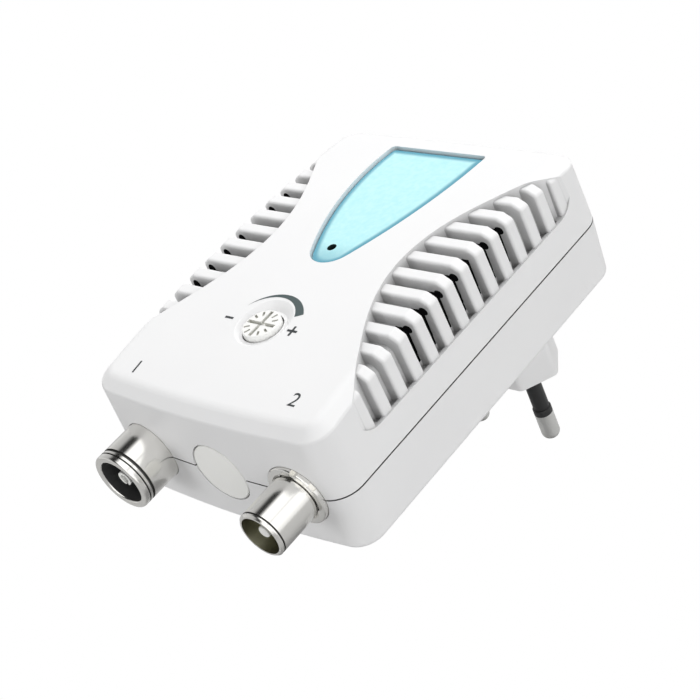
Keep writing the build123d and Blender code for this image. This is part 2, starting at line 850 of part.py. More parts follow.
def output_collar():
    """Plated ring round the neck of the output plug, recessed and notched."""
    front = front_at(output_x) - collar_stand
    inner = output_neck_diameter / 2 + snug_gap
    outer = collar_diameter / 2
    ring = turned([(inner, front), (outer, front), (outer, can_front), (inner, can_front)], output_x)
    rim = ring.edges().group_by(Axis.Y)[0].sort_by(SortBy.RADIUS)[-1]
    ring = fillet(rim, collar_edge_radius)
    recess = output_diameter / 2 + collar_recess_gap
    floor = front + collar_recess_depth
    start = front - overrun
    ring -= turned([(0, start), (recess, start), (recess, floor), (0, floor)], output_x)
    for turn in collar_notch_turns:
        notch = Box(collar_notch_width, 2 * collar_notch_length, 2 * collar_notch_depth)
        notch = Rot(0, turn, 0) * (Pos(0, 0, outer) * notch)
        ring -= Pos(output_x, front, parting_height) * notch
    return ring


def blanking_disc():
    """Disc that closes the middle hole, with a rim behind the wall."""
    front = front_at(0) + blank_sink
    wall_back = front_at(0) + shell_wall + blank_rim_gap
    finish = wall_back + blank_rim_thickness
    disc = bar(blank_diameter / 2, front, finish, 0, parting_height)
    edge = disc.edges().sort_by(Axis.Y)[0]
    disc = fillet(edge, blank_edge_radius)
    return disc + bar(blank_diameter / 2 + blank_rim_reach, wall_back, finish, 0, parting_height)


def can_box(inset, start, finish):
    """Upright block on the outline of the screening box."""
    width = 2 * (can_half_width - inset)
    return slab(width, can_length - 2 * inset, start, finish, 0, (can_front + can_back) / 2)


def screen_frame():
    """Four folded walls round the high-frequency board."""
    start = parting_height - can_bottom
    finish = parting_height + can_top
    frame = can_box(0, start, finish) - can_box(can_wall, start - overrun, finish + overrun)
    for x in (input_x, output_x):
        radius = can_tail_hole_diameter / 2
        frame -= bar(radius, can_front - overrun, can_front + can_wall + overrun, x, parting_height)
    slot_width = link_pin_pitch * link_pin_count + link_slot_gap
    slot_top = board_top + link_pin_side + link_slot_gap
    frame -= slab(slot_width, 4 * can_wall, board_top - link_slot_gap, slot_top, 0, can_back)
    return frame


def screen_lid(plate_start, lip_start):
    """Lid of the screening box: a plate and a lip that grips inside the frame."""
    plate_finish = plate_start + lid_thickness
    lip_inset = can_wall + lid_gap
    lip = can_box(lip_inset, lip_start, lip_start + lid_lip)
    lip -= can_box(lip_inset + lid_thickness, lip_start - overrun, lip_start + lid_lip + overrun)
    return can_box(0, plate_start, plate_finish) + lip


def screen_top():
    """Upper lid with a hole for the knob's stem."""
    start = parting_height + can_top
    lid = screen_lid(start, start - lid_lip)
    hole = knob_stem_diameter / 2 + lid_stem_gap
    return lid - rod(hole, start - overrun, start + lid_thickness + overrun, 0, knob_y)


def screen_bottom():
    """Lower lid."""
    start = parting_height - can_bottom
    return screen_lid(start - lid_thickness, start)


def rf_board():
    """High-frequency board inside the screening box."""
    return can_box(can_wall + board_gap, board_bottom, board_top)


def power_board():
    """Power supply board behind the box, on four pegs."""
    middle = (power_board_front + power_board_back) / 2
    board = slab(2 * power_board_half_width, power_board_length, board_bottom, board_top, 0, middle)
    radius = board_peg_diameter / 2 + board_peg_gap
    for side in (-1, 1):
        x = side * (power_board_half_width - board_peg_edge)
        for y in (power_board_front + board_peg_edge, power_board_back - board_peg_edge):
            board -= rod(radius, board_bottom - overrun, board_top + overrun, x, y)
    return board


def link_pins():
    """Short square pins that join both boards through the box wall."""
    start = can_back - can_wall - link_pin_reach
    finish = power_board_front + link_pin_reach
    pins = []
    for number in range(link_pin_count):
        x = (number - (link_pin_count - 1) / 2) * link_pin_pitch
        length = finish - start
        top = board_top + link_pin_side
        pins.append(slab(link_pin_side, length, board_top, top, x, (start + finish) / 2))
    return pins


def can_capacitor(diameter, height, place):
    """Round can capacitor on a low stand, with a bead pressed near its foot."""
    x, y = place
    start = board_top + capacitor_stand
    can = rod(diameter / 2, start, start + height, x, y)
    can = fillet(can.edges().sort_by(Axis.Z)[-1], capacitor_bead_depth)
    bead = Pos(x, y, start + capacitor_bead_height) * Torus(diameter / 2, capacitor_bead_depth)
    return can - bead + rod(diameter / 4, board_top, start, x, y)


def voltage_regulator():
    """Small three-legged regulator with one flat side."""
    x, y = regulator_place
    start = board_top + regulator_stand
    finish = start + regulator_height
    body = rod(regulator_width / 2, start, finish, x, y)
    body -= slab(regulator_width, regulator_width, start, finish, x, y - regulator_depth)
    for number in (-1, 0, 1):
        lead_x = x + number * regulator_lead_pitch
        body += slab(regulator_lead_side, regulator_lead_side, board_top, start, lead_x, y)
    return body


def rectifier_diode(x, y):
    """Axial diode lying just above the board on two bent leads."""
    z = board_top + diode_diameter / 2 + capacitor_stand
    body = Pos(x, y, z) * Cylinder(diode_diameter / 2, diode_length, rotation=(0, 90, 0))
    half = diode_lead_side / 2
    body += slab(diode_lead_span, diode_lead_side, z - half, z + half, x, y)
    for side in (-1, 1):
        lead_x = x + side * (diode_lead_span / 2 - half)
        body += slab(diode_lead_side, diode_lead_side, board_top, z + half, lead_x, y)
    return body


def amplifier_transistor(place):
    """Flat round transistor with four ribbon leads."""
    x, y = place
    body = rod(transistor_diameter / 2, board_top, board_top + transistor_height, x, y)
    reach = transistor_diameter + 2 * transistor_lead_length
    top = board_top + transistor_lead_thickness
    body += slab(reach, transistor_lead_width, board_top, top, x, y)
    return body + slab(transistor_lead_width, reach, board_top, top, x, y)


def ferrite_core(place):
    """Two-hole ferrite core of a matching transformer."""
    x, y = place
    centres = [x + side * ferrite_diameter / 4 for side in (-1, 1)]
    finish = board_top + ferrite_height
    core = joined([rod(ferrite_diameter / 2, board_top, finish, centre, y) for centre in centres])
    for centre in centres:
        core -= rod(ferrite_hole_diameter / 2, board_top - overrun, finish + overrun, centre, y)
    return core


def chip_parts():
    """Small surface-mounted chips in rows across the high-frequency board."""
    finish = board_top + chip_height
    return [slab(chip_length, chip_width, board_top, finish, x, y) for y in chip_rows for x in chip_columns]


def transformer_core():
    """Laminated core lying flat: outer frame with a centre leg along Y."""
    start = core_z - core_stack / 2
    finish = core_z + core_stack / 2
    core = slab(core_width, core_length, start, finish, 0, core_y)
    window_x = core_leg_width / 2 + core_window_width / 2
    for side in (-1, 1):
        x = side * window_x
        core -= slab(core_window_width, core_window_length, start - overrun, finish + overrun, x, core_y)
    return core


def coil_box(leg_gap, start, finish):
    """Block round the centre leg, grown by a gap, between two places along Y."""
    width = core_leg_width + 2 * leg_gap
    height = core_stack + 2 * leg_gap
    return Pos(0, (start + finish) / 2, core_z) * Box(width, finish - start, height)


def bobbin_stations():
    """Places along Y of the bobbin's front end, its partition and its back end."""
    half = core_window_length / 2 - bobbin_gap
    front = core_y - half
    back = core_y + half
    partition = back - (back - front) * winding_split_share
    return front, partition, back


def transformer_bobbin():
    """Two-section bobbin with three flanges and a terminal rail at each end."""
    front, partition, back = bobbin_stations()
    bobbin = coil_box(bobbin_gap + bobbin_wall, front, back)
    width = core_leg_width + 2 * (core_window_width - bobbin_gap)
    height = core_stack + 2 * bobbin_overhang
    middles = (front + bobbin_flange / 2, partition, back - bobbin_flange / 2)
    for middle in middles:
        bobbin += Pos(0, middle, core_z) * Box(width, bobbin_flange, height)
    bottom = core_z - height / 2
    for y in (front - terminal_rail_depth / 2, back + terminal_rail_depth / 2):
        depth = terminal_rail_depth + bobbin_flange
        toward = (core_y - y) / abs(core_y - y) * bobbin_flange / 2
        bobbin += slab(width, depth, bottom, bottom + terminal_rail_height, 0, y + toward)
    return bobbin - coil_box(bobbin_gap, front - overrun, back + overrun)


def winding(start, finish):
    """One winding: a round-cornered band about the bobbin between two flanges."""
    coil = coil_box(bobbin_gap + bobbin_wall + winding_depth, start, finish)
    coil = fillet(coil.edges().filter_by(Axis.Y), winding_corner_radius)
    return coil - coil_box(bobbin_gap + bobbin_wall, start - overrun, finish + overrun)


def primary_winding():
    """Mains winding in the back section."""
    front, partition, back = bobbin_stations()
    return winding(partition + bobbin_flange / 2, back - bobbin_flange)


def secondary_winding():
    """Low-voltage winding in the front section."""
    front, partition, back = bobbin_stations()
    return winding(front + bobbin_flange, partition - bobbin_flange / 2)


def mains_lead(side):
    """Insulated lead from a pin's tail up to the bobbin's back rail."""
    rail_bottom = core_z - core_stack / 2 - bobbin_overhang
    start = (side * pin_pitch / 2, 0, pin_root_length)
    finish = (side * (pin_pitch / 2 - mains_lead_jog), mains_lead_offset, rail_bottom)
    path = Spline(start, finish, tangents=((0, 0, 1), (0, 0, 1)))
    return sweep(Pos(*start) * Circle(mains_lead_diameter / 2), path=path)


def secondary_lead(side):
    """Insulated lead from the bobbin's front rail to the underside of the power board."""
    x = side * secondary_lead_spread / 2
    z = core_z - core_stack / 2 - bobbin_overhang + terminal_rail_height / 2
    front, partition, back = bobbin_stations()
    rail_front = front - terminal_rail_depth
    turn = power_board_back - secondary_lead_inset
    points = [(x, rail_front, z), (x, turn, z), (x, turn, board_bottom)]
    path = FilletPolyline(*points, radius=secondary_lead_radius)
    face = Plane(origin=points[0], z_dir=(0, -1, 0)) * Circle(secondary_lead_diameter / 2)
    return sweep(face, path=path)


def case_screw(x, y):
    """Slotted pan-head screw driven from below."""
    seat = case_floor + screw_recess_depth
    head = rod(screw_head_diameter / 2, seat - screw_head_height, seat, x, y)
    head = fillet(head.edges().sort_by(Axis.Z)[0], screw_head_round)
    slot_top = seat - screw_head_height + screw_slot_depth
    slot_bottom = seat - screw_head_height - overrun
    head -= slab(screw_slot_length, screw_slot_width, slot_bottom, slot_top, x, y)
    shank = rod(screw_diameter / 2, seat, seat + screw_length, x, y)
    shank = chamfer(shank.edges().sort_by(Axis.Z)[-1], screw_point)
    return head + shank


# Shapes that several pieces share
outer_surface = rimmed_block(0, 0, 0, rim_top_radius, rim_side_radius)
rib_surface = rimmed_block(
    rib_side_sink, rib_top_sink, rib_band_sink, rib_bend_radius, rib_bend_radius
)

nodes = {
    "upper_shell": upper_shell(),
    "lower_shell": lower_shell(),
    "window_lens": window_lens(),
    "pilot_lamp": pilot_lamp(),
    "gain_knob": gain_knob(),
    "potentiometer_body": potentiometer_body(),
    "potentiometer_rotor": potentiometer_rotor(),
    "input_barrel": input_barrel(),
    "input_insulator": socket_insulator(
        input_x, front_chord - input_tip_reach + input_bore_depth, input_bore_diameter
    ),
    "input_contact": input_contact(),
    "output_barrel": output_barrel(),
    "output_insulator": socket_insulator(
        output_x, front_chord - output_tip_reach + output_bore_depth, output_bore_diameter
    ),
    "output_pin": output_contact(),
    "output_collar": output_collar(),
    "blanking_disc": blanking_disc(),
    "screening_frame": screen_frame(),
    "screening_top_lid": screen_top(),
    "screening_bottom_lid": screen_bottom(),
    "rf_board": rf_board(),
    "amplifier_transistors": [amplifier_transistor(place) for place in transistor_places],
    "ferrite_cores": [ferrite_core(place) for place in ferrite_places],
    "chip_components": chip_parts(),
    "board_link_pins": link_pins(),
    "power_board": power_board(),
    "smoothing_capacitor": can_capacitor(capacitor_diameter, capacitor_height, capacitor_place),
    "output_capacitor": can_capacitor(
        second_capacitor_diameter, second_capacitor_height, second_capacitor_place
    ),
    "voltage_regulator": voltage_regulator(),
    "rectifier_diodes": [rectifier_diode(x, y) for x in diode_columns for y in diode_rows],
    "transformer_core": transformer_core(),
    "transformer_bobbin": transformer_bobbin(),
    "primary_winding": primary_winding(),
    "secondary_winding": secondary_winding(),
    "secondary_leads": [secondary_lead(side) for side in (-1, 1)],
    "mains_leads": [mains_lead(side) for side in (-1, 1)],
    "plug_body": plug_body(),
    "mains_pins": [mains_pin(side * pin_pitch / 2) for side in (-1, 1)],
    "pin_sleeves": [pin_sleeve(side * pin_pitch / 2) for side in (-1, 1)],
    "case_screws": [case_screw(x, y) for x, y in screw_places],
}

os.makedirs("parts", exist_ok=True)
for name, shape in nodes.items():
    if isinstance(shape, list):
        shape = Compound(children=shape)
    export_step(shape, f"parts/{name}.step")
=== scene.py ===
import math

import bmesh
import bpy
from mathutils import Matrix, Vector


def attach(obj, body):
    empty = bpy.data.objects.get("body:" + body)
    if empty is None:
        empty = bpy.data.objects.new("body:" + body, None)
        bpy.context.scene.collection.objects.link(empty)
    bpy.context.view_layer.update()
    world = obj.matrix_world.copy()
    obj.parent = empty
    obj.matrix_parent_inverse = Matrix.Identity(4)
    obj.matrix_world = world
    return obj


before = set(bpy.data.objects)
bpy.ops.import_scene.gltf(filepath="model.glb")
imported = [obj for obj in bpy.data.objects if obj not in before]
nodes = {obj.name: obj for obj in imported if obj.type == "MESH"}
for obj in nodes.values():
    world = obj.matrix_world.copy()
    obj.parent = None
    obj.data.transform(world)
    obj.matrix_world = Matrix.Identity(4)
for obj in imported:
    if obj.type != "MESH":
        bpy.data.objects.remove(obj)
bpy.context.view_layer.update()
MM = 0.001
scene = bpy.context.scene

# Places and sizes on the case, in millimetres
parting_height = 32.0
case_front = -69.0
crown_height = 49.5
crown_y = -25.5
crown_radius = 303.0
rib_pitch = 4.73

socket_height = parting_height
input_x = -19.15
input_mouth = -78.0
input_radius = 6.25
input_bore_radius = 4.76
input_rings = ((-76.85, -76.55), (-76.05, -75.45))
output_x = 19.15
output_mouth = -79.2
output_radius = 4.75
output_bore_radius = 4.05
output_rings = ((-78.6, -78.25),)
ring_margin = 0.02
ring_deepest = 0.42
ring_shallowest = 0.06
bore_margin = 0.05
bore_setback = 0.1

window_back = 7.8
window_length = 42.6
window_back_half_width = 11.9
window_side_half_width = 10.3
window_side_share = 0.433
window_tip_radius = 5.0
lamp_x, lamp_y = -1.3, -24.8
lamp_reach = 1.2

# A face looks up when its normal rises at least this much
upward = 0.9
seam_margin = 0.02


def link(tree, a, a_socket, b, b_socket):
    """Join an output of one node to an input of another, both by name or number."""
    tree.links.new(a.outputs[a_socket], b.inputs[b_socket])


def calc(tree, operation, first, *others):
    """Socket with the result of an operation on sockets or floats, taken in turn."""
    result = first
    for other in others or (0.0,):
        node = tree.nodes.new("ShaderNodeMath")
        node.operation = operation
        for slot, value in enumerate((result, other)):
            if isinstance(value, float):
                node.inputs[slot].default_value = value
            else:
                tree.links.new(value, node.inputs[slot])
        result = node.outputs["Value"]
    return result


def blend(tree, factor, first, second):
    """Socket with a mix of two colours, each of them a tuple or a socket."""
    node = tree.nodes.new("ShaderNodeMix")
    node.data_type = "RGBA"
    tree.links.new(factor, node.inputs["Factor"])
    for slot, value in (("A", first), ("B", second)):
        if isinstance(value, tuple):
            node.inputs[slot].default_value = (*value, 1)
        else:
            tree.links.new(value, node.inputs[slot])
    return node.outputs["Result"]


def spread(tree, value, start, finish, low=0.0, high=1.0, kind="LINEAR"):
    """Socket that goes from low to high while the value goes from start to finish."""
    node = tree.nodes.new("ShaderNodeMapRange")
    node.interpolation_type = kind
    node.inputs["From Min"].default_value = start
    node.inputs["From Max"].default_value = finish
    node.inputs["To Min"].default_value = low
    node.inputs["To Max"].default_value = high
    tree.links.new(value, node.inputs["Value"])
    return node.outputs["Result"]


def object_place(tree):
    """Sockets with the place on the object, along X, Y and Z."""
    coords = tree.nodes.new("ShaderNodeTexCoord")
    split = tree.nodes.new("ShaderNodeSeparateXYZ")
    link(tree, coords, "Object", split, "Vector")
    return split.outputs["X"], split.outputs["Y"], split.outputs["Z"]


# Painted shade of the vents, drawn black on the case by place: the floor behind the bend, and a
# round mouth where the bend begins
vents_reach = 16.5
vent_floor_inner, vent_floor_outer = 24.3, 27.1
vent_floor_drop = 3.05
vent_floor_height = 38.6
mouth_half_width, mouth_half_height = 1.0, 1.2
mouth_drop = 3.0
mouth_right_change = 0.35
short_vent_along = rib_pitch
short_vent_half_width = 2.3
vent_shade_black = (0.008, 0.008, 0.009)


def vent_shadow(tree):
    """One where the vents' shade is painted between the ribs, zero elsewhere."""
    x, y, z = object_place(tree)
    side = calc(tree, "ABSOLUTE", x)
    along = calc(tree, "ADD", y, -crown_y * MM)
    sag = calc(tree, "MULTIPLY", along, along, 1 / (2 * crown_radius * MM))
    below = calc(tree, "SUBTRACT", crown_height * MM, sag, z)
    behind = calc(tree, "MULTIPLY",
                  calc(tree, "GREATER_THAN", side, vent_floor_inner * MM),
                  calc(tree, "LESS_THAN", side, vent_floor_outer * MM),
                  calc(tree, "GREATER_THAN", below, vent_floor_drop * MM),
                  calc(tree, "GREATER_THAN", z, vent_floor_height * MM))
    # On the right the mouth is flatter: its upper edge comes down and its lower edge stays
    change = calc(tree, "MULTIPLY", calc(tree, "GREATER_THAN", x, 0.0), mouth_right_change * MM)
    centre = calc(tree, "ADD", change, mouth_drop * MM)
    half_height = calc(tree, "SUBTRACT", mouth_half_height * MM, change)
    across = calc(tree, "DIVIDE", calc(tree, "SUBTRACT", side, vent_floor_outer * MM),
                  mouth_half_width * MM)
    down = calc(tree, "DIVIDE", calc(tree, "SUBTRACT", below, centre), half_height)
    away = calc(tree, "ADD", calc(tree, "MULTIPLY", across, across),
                calc(tree, "MULTIPLY", down, down))
    from_short = calc(tree, "ABSOLUTE", calc(tree, "SUBTRACT", along, short_vent_along * MM))
    mouth = calc(tree, "MULTIPLY", calc(tree, "LESS_THAN", away, 1.0),
                 calc(tree, "GREATER_THAN", from_short, short_vent_half_width * MM))
    in_reach = calc(tree, "LESS_THAN", calc(tree, "ABSOLUTE", along), vents_reach * MM)
    return calc(tree, "MULTIPLY", calc(tree, "MAXIMUM", behind, mouth), in_reach)


grain_detail = 4.0
specular = 0.5
bump_grain = 900.0
bump_height = 0.05
crease_samples = 8


def finish(name, low, high, rough, metallic=0.0, grain=60.0, bump=0.0, stretch=(1, 1, 1),
           crease_shade=None, crease_reach=1.0, crease_power=1.0, crease_alone=True, vents=False):
    """A surface whose colour and roughness wander a little, with painted shade darkening its
    creases.
    """
    material = bpy.data.materials.new(name)
    material.use_nodes = True
    tree = material.node_tree
    shader = tree.nodes["Principled BSDF"]
    coords = tree.nodes.new("ShaderNodeTexCoord")
    mapping = tree.nodes.new("ShaderNodeMapping")
    mapping.inputs["Scale"].default_value = stretch
    noise = tree.nodes.new("ShaderNodeTexNoise")
    noise.inputs["Scale"].default_value = grain
    noise.inputs["Detail"].default_value = grain_detail
    link(tree, coords, "Object", mapping, "Vector")
    link(tree, mapping, "Vector", noise, "Vector")
    colour = blend(tree, noise.outputs["Fac"], low, high)
    if crease_shade:
        # Painted shade: the colour darkens towards the crease colour where ambient occlusion finds
        # creases and hollows
        hollow = tree.nodes.new("ShaderNodeAmbientOcclusion")
        hollow.only_local = crease_alone
        hollow.samples = crease_samples
        hollow.inputs["Distance"].default_value = crease_reach * MM
        openness = calc(tree, "POWER", hollow.outputs["AO"], crease_power)
        colour = blend(tree, openness, crease_shade, colour)
    shader.inputs["Specular IOR Level"].default_value = specular
    # Painted shade: where the vents would show, the case is painted near-black and its shine taken
    # away
    if vents:
        shadow = vent_shadow(tree)
        shine = calc(tree, "MULTIPLY", calc(tree, "SUBTRACT", 1.0, shadow), specular)
        tree.links.new(shine, shader.inputs["Specular IOR Level"])
        colour = blend(tree, shadow, colour, vent_shade_black)
    roughness = spread(tree, noise.outputs["Fac"], 0.0, 1.0, *rough)
    tree.links.new(colour, shader.inputs["Base Color"])
    tree.links.new(roughness, shader.inputs["Roughness"])
    shader.inputs["Metallic"].default_value = metallic
    if bump:
        fine = tree.nodes.new("ShaderNodeTexNoise")
        fine.inputs["Scale"].default_value = bump_grain
        height = tree.nodes.new("ShaderNodeBump")
        height.inputs["Strength"].default_value = bump
        height.inputs["Distance"].default_value = bump_height * MM
        link(tree, mapping, "Vector", fine, "Vector")
        link(tree, fine, "Fac", height, "Height")
        link(tree, height, "Normal", shader, "Normal")
    return material


def circle_through(a, b, c):
    """Centre and radius of the circle through three points."""
    d = 2 * (a[0] * (b[1] - c[1]) + b[0] * (c[1] - a[1]) + c[0] * (a[1] - b[1]))
    squares = [p[0] ** 2 + p[1] ** 2 for p in (a, b, c)]
    x = (squares[0] * (b[1] - c[1]) + squares[1] * (c[1] - a[1]) + squares[2] * (a[1] - b[1])) / d
    y = (squares[0] * (c[0] - b[0]) + squares[1] * (a[0] - c[0]) + squares[2] * (b[0] - a[0])) / d
    return x, y, math.hypot(a[0] - x, a[1] - y)


# The window's painted rim shade: where it begins to fade and ends, in from the outline. The case
# hides more of it on the right than on the left, so it is shifted in there, fully from rim_shift_x
# on.
rim_shade_colour = (0.12, 0.37, 0.48)
rim_from, rim_to = 0.8, 2.0
rim_shift = 0.65
rim_shift_x = 4.0
rim_left_share = -0.4
tip_reach = 6.5
tip_share = 0.3


def painted_rim_shade(material):
    """Blend a painted shade colour into the window along its outline, and darken it towards its
    tip.
    """
    sharp_tip = window_back - window_length
    cx, cy, radius = circle_through(
        (window_back_half_width, window_back),
        (window_side_half_width, window_back - window_length * window_side_share),
        (0.0, sharp_tip))
    tip_y = cy - math.sqrt((radius - window_tip_radius) ** 2 - cx ** 2)
    tangent_y = cy + (tip_y - cy) * radius / (radius - window_tip_radius)
    tip_end = tip_y - window_tip_radius
    tree = material.node_tree
    shader = tree.nodes["Principled BSDF"]
    source = shader.inputs["Base Color"].links[0].from_socket
    across, along, _ = object_place(tree)
    x = calc(tree, "MULTIPLY", calc(tree, "ABSOLUTE", across), 1 / MM)
    y = calc(tree, "MULTIPLY", along, 1 / MM)

    def inside(from_x, from_y, size):
        """Socket with the way in from a circle."""
        dx = calc(tree, "SUBTRACT", x, from_x)
        dy = calc(tree, "SUBTRACT", y, from_y)
        square = calc(tree, "ADD", calc(tree, "MULTIPLY", dx, dx), calc(tree, "MULTIPLY", dy, dy))
        return calc(tree, "SUBTRACT", size, calc(tree, "SQRT", square))

    from_side = inside(cx, cy, radius)
    from_tip = inside(0.0, tip_y, window_tip_radius)
    at_tip = calc(tree, "LESS_THAN", y, tangent_y)
    change = calc(tree, "MULTIPLY", at_tip, calc(tree, "SUBTRACT", from_tip, from_side))
    depth = calc(tree, "ADD", from_side, change)
    side = calc(tree, "MULTIPLY", across, 1 / (rim_shift_x * MM))
    side = calc(tree, "MAXIMUM", calc(tree, "MINIMUM", side, 1.0), rim_left_share)
    depth = calc(tree, "SUBTRACT", depth, calc(tree, "MULTIPLY", side, rim_shift))
    depth = calc(tree, "MINIMUM", depth, calc(tree, "SUBTRACT", window_back, y))
    from_rim = spread(tree, depth, rim_from, rim_to, kind="SMOOTHSTEP")
    from_end = spread(tree, y, tip_end, tip_end + tip_reach, low=tip_share)
    colour = blend(tree, calc(tree, "MULTIPLY", from_rim, from_end), rim_shade_colour, source)
    tree.links.new(colour, shader.inputs["Base Color"])


# The crease colours of the case, the window and the knob are painted shade; the case also carries
# the vents' painted shade
case_white = finish("case_white", (0.83, 0.83, 0.835), (0.86, 0.86, 0.86), (0.36, 0.44), bump=0.12,
                    crease_shade=(0.34, 0.34, 0.34), crease_reach=2.6, crease_power=1.2, vents=True)
plug_white = finish("plug_white", (0.80, 0.80, 0.80), (0.83, 0.83, 0.83), (0.4, 0.48), bump=0.12)
lens_blue = finish("lens_blue", (0.40, 0.80, 0.85), (0.62, 0.92, 0.94), (0.2, 0.28), grain=900,
                   crease_shade=(0.12, 0.36, 0.44), crease_reach=1.6, crease_alone=False)
# A darker copy of the window's colour, painted shade on its sides and bevels
lens_edge_shade = finish("lens_edge_shade", (0.17, 0.40, 0.48), (0.24, 0.52, 0.62), (0.2, 0.28), grain=160)
painted_rim_shade(lens_blue)
# The pilot lamp's own dark colour, also painted as shade on the wall of the hole over it
lamp_red = finish("lamp_red", (0.015, 0.03, 0.03), (0.03, 0.05, 0.05), (0.15, 0.25))
ivory = finish("ivory", (0.95, 0.95, 0.92), (0.97, 0.97, 0.94), (0.35, 0.42), bump=0.1)
knob_white = finish("knob_white", (0.88, 0.88, 0.86), (0.92, 0.92, 0.90), (0.3, 0.38), bump=0.1,
                    crease_shade=(0.5, 0.5, 0.45))
blue = finish("blue", (0.02, 0.08, 0.35), (0.03, 0.1, 0.4), (0.35, 0.42))
nickel = finish("nickel", (0.80, 0.79, 0.76), (0.86, 0.85, 0.82), (0.15, 0.20), metallic=1.0,
                grain=120)
# Near-black, painted shade in the shallow rings round the barrels
nickel_ring_shade = finish("nickel_ring_shade", (0.05, 0.05, 0.05), (0.09, 0.09, 0.08), (0.3, 0.4),
                     metallic=0.5)
# Near-black for the input insulator, and painted shade on the walls of the input barrel's bore
insulator_black_and_bore_shade = finish("insulator_black_and_bore_shade", (0.028, 0.028, 0.028), (0.036, 0.036, 0.036), (0.7, 0.8))
output_bore = finish("output_bore", (0.40, 0.39, 0.29), (0.48, 0.47, 0.36), (0.3, 0.4),
                     metallic=1.0)
pin_nickel = finish("pin_nickel", (0.82, 0.82, 0.80), (0.88, 0.88, 0.86), (0.12, 0.18),
                    metallic=1.0, grain=200)
# A non-metallic near-white for the contacts: their own light colour, with the bright shine they
# catch in the dark bore painted in
silver_with_painted_shine = finish("silver_with_painted_shine", (0.93, 0.93, 0.90), (0.96, 0.96, 0.94), (0.35, 0.45), grain=200)
brass = finish("brass", (0.55, 0.50, 0.40), (0.62, 0.57, 0.46), (0.2, 0.3), metallic=1.0,
               grain=200)
# The screening frame and lids are tinplate, painted near-black as the shade seen through the vents
screen_painted_shade = finish("screen_painted_shade", (0.012, 0.012, 0.013), (0.02, 0.02, 0.021), (0.55, 0.7))
green = finish("green", (0.01, 0.10, 0.03), (0.02, 0.13, 0.05), (0.4, 0.5), bump=0.2)
black = finish("black", (0.012, 0.012, 0.013), (0.02, 0.02, 0.02), (0.35, 0.45), bump=0.1)
ferrite = finish("ferrite", (0.03, 0.03, 0.032), (0.05, 0.05, 0.05), (0.6, 0.75), bump=0.3)
sleeve_blue = finish("sleeve_blue", (0.01, 0.012, 0.05), (0.015, 0.02, 0.07), (0.3, 0.4))
core_steel = finish("core_steel", (0.18, 0.18, 0.19), (0.28, 0.28, 0.29), (0.4, 0.55),
                    metallic=0.9, grain=200, stretch=(0.2, 0.2, 10))
tape = finish("tape", (0.62, 0.42, 0.04), (0.70, 0.48, 0.06), (0.25, 0.35))
brown = finish("brown", (0.08, 0.03, 0.015), (0.11, 0.045, 0.02), (0.4, 0.5))
zinc = finish("zinc", (0.55, 0.54, 0.50), (0.64, 0.63, 0.58), (0.25, 0.35), metallic=1.0,
              grain=300)
print_grey = finish("print_grey", (0.035, 0.04, 0.042), (0.05, 0.055, 0.058), (0.45, 0.55))
print_teal = finish("print_teal", (0.062, 0.088, 0.09), (0.082, 0.108, 0.11), (0.45, 0.55))
# Painted shade for the seam between the case's halves
seam_shade_grey = finish("seam_shade_grey", (0.07, 0.07, 0.07), (0.09, 0.09, 0.09), (0.7, 0.8))

looks = {
    case_white: ["upper_shell", "lower_shell"],
    plug_white: ["plug_body"],
    lens_blue: ["window_lens"],
    lamp_red: ["pilot_lamp"],
    ivory: ["blanking_disc", "output_insulator", "potentiometer_rotor"],
    knob_white: ["gain_knob"],
    insulator_black_and_bore_shade: ["input_insulator"],
    blue: ["potentiometer_body", "secondary_leads"],
    nickel: ["input_barrel", "output_barrel", "output_collar"],
    pin_nickel: ["mains_pins"],
    silver_with_painted_shine: ["input_contact", "output_pin"],
    brass: ["board_link_pins"],
    screen_painted_shade: ["screening_frame", "screening_top_lid", "screening_bottom_lid"],
    green: ["rf_board", "power_board"],
    black: ["amplifier_transistors", "voltage_regulator", "rectifier_diodes",
            "transformer_bobbin", "pin_sleeves"],
    ferrite: ["ferrite_cores", "chip_components"],
    sleeve_blue: ["smoothing_capacitor", "output_capacitor"],
    core_steel: ["transformer_core"],
    tape: ["primary_winding", "secondary_winding"],
    brown: ["mains_leads"],
    zinc: ["case_screws"],
}
for material, names in looks.items():
    for name in names:
        mesh = nodes[name].data
        mesh.materials.clear()
        mesh.materials.append(material)
        for polygon in mesh.polygons:
            polygon.material_index = 0


def second_look(name, material, chosen):
    """Another surface for the faces of a node that a test picks in millimetres."""
    node = nodes[name]
    node.data.materials.append(material)
    slot = len(node.data.materials) - 1
    for polygon in node.data.polygons:
        place = node.matrix_world @ polygon.center / MM
        facing = node.matrix_world.to_3x3() @ polygon.normal
        if chosen(place, facing.normalized()):
            polygon.material_index = slot


def inside_bore(x, radius, mouth):
    """Test for faces within a socket's bore."""
    def test(place, facing):
        away = math.hypot(place.x - x, place.z - socket_height)
        return away < radius + bore_margin and mouth + bore_setback < place.y < case_front
    return test


def ring_line(x, radius, rings):
    """Test for faces of the shallow rings cut round a barrel."""
    def test(place, facing):
        away = math.hypot(place.x - x, place.z - socket_height)
        along = any(start - ring_margin < place.y < end + ring_margin for start, end in rings)
        return along and radius - ring_deepest < away < radius - ring_shallowest
    return test


def lens_side(place, facing):
    """Test for the faces of the window that don't look up."""
    return facing.z < upward


def lamp_hole(place, facing):
    """Test for the wall of the hole over the lamp."""
    return lens_side(place, facing) and math.hypot(place.x - lamp_x, place.y - lamp_y) < lamp_reach


def seam_face(place, facing):
    """Test for the lower shell's upper face, painted dark as the shade in the thin line between
    the halves.
    """
    return abs(place.z - parting_height) < seam_margin and facing.z > upward


# The input barrel's bore walls are painted near-black as shade
second_look("input_barrel", insulator_black_and_bore_shade, inside_bore(input_x, input_bore_radius, input_mouth))
second_look("output_barrel", output_bore, inside_bore(output_x, output_bore_radius, output_mouth))
